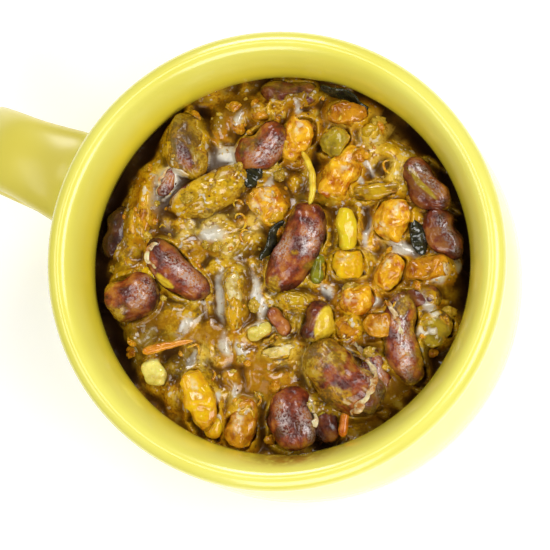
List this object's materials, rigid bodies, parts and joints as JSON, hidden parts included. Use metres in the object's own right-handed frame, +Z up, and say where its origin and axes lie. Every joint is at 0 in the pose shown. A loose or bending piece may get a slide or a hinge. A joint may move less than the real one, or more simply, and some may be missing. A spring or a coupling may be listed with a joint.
{
  "type": "bowl of rajma",
  "caption": "Handled glazed soup mug filled with thick kidney bean curry, with whole beans and cut vegetables standing out of the gravy.",
  "frame": {"origin": "centre of the flat round foot that the mug stands on", "axes": "+Z up along the mug's axis, -X towards the loop handle, +Y completes the right-handed frame"},
  "size_m": [0.142, 0.108, 0.076],
  "materials": {
    "glaze": "gloss, bare clay under the foot",
    "gravy": "wet and oily, thick",
    "bean": "wet wrinkled skin",
    "tomato": "wet, soft-edged",
    "potato": "moist",
    "onion": "translucent, wet",
    "pepper": "wet",
    "ginger": "moist",
    "chilli": "wet",
    "leaf": "wet, dark"
  },
  "bodies": {
    "root": {"bowl": "glaze", "gravy": "gravy", "bean_centre": "bean", "bean_coated": "bean", "bean_curved": "bean", "bean_east": "bean", "bean_far_north": "bean", "bean_half": "bean", "bean_large": "bean", "bean_low_east": "bean", "bean_low_middle": "bean", "bean_low_south": "bean", "bean_low_west": "bean", "bean_north": "bean", "bean_north_east": "bean", "bean_north_west": "bean", "bean_skin_south": "bean", "bean_skin_west": "bean", "bean_south": "bean", "bean_split": "bean", "bean_west": "bean", "chilli_strip": "chilli", "ginger_needle": "ginger", "ginger_sliver": "ginger", "leaf_centre": "leaf", "leaf_east": "leaf", "leaf_north": "leaf", "leaf_west": "leaf", "onion_bit": "onion", "onion_east": "onion", "onion_far_north": "onion", "onion_low": "onion", "onion_middle": "onion", "onion_north": "onion", "onion_olive": "onion", "onion_pale": "onion", "onion_slice": "onion", "onion_south": "onion", "onion_south_west": "onion", "pepper_green": "pepper", "pepper_strip": "pepper", "potato_bit": "potato", "potato_centre": "potato", "potato_low": "potato", "potato_south_west": "potato", "tomato_centre": "tomato", "tomato_east_1": "tomato", "tomato_east_2": "tomato", "tomato_east_3": "tomato", "tomato_east_4": "tomato", "tomato_far_north": "tomato", "tomato_middle": "tomato", "tomato_north": "tomato", "tomato_north_east": "tomato", "tomato_skin": "tomato", "tomato_south": "tomato", "tomato_top": "tomato"}
  },
  "joints": []
}
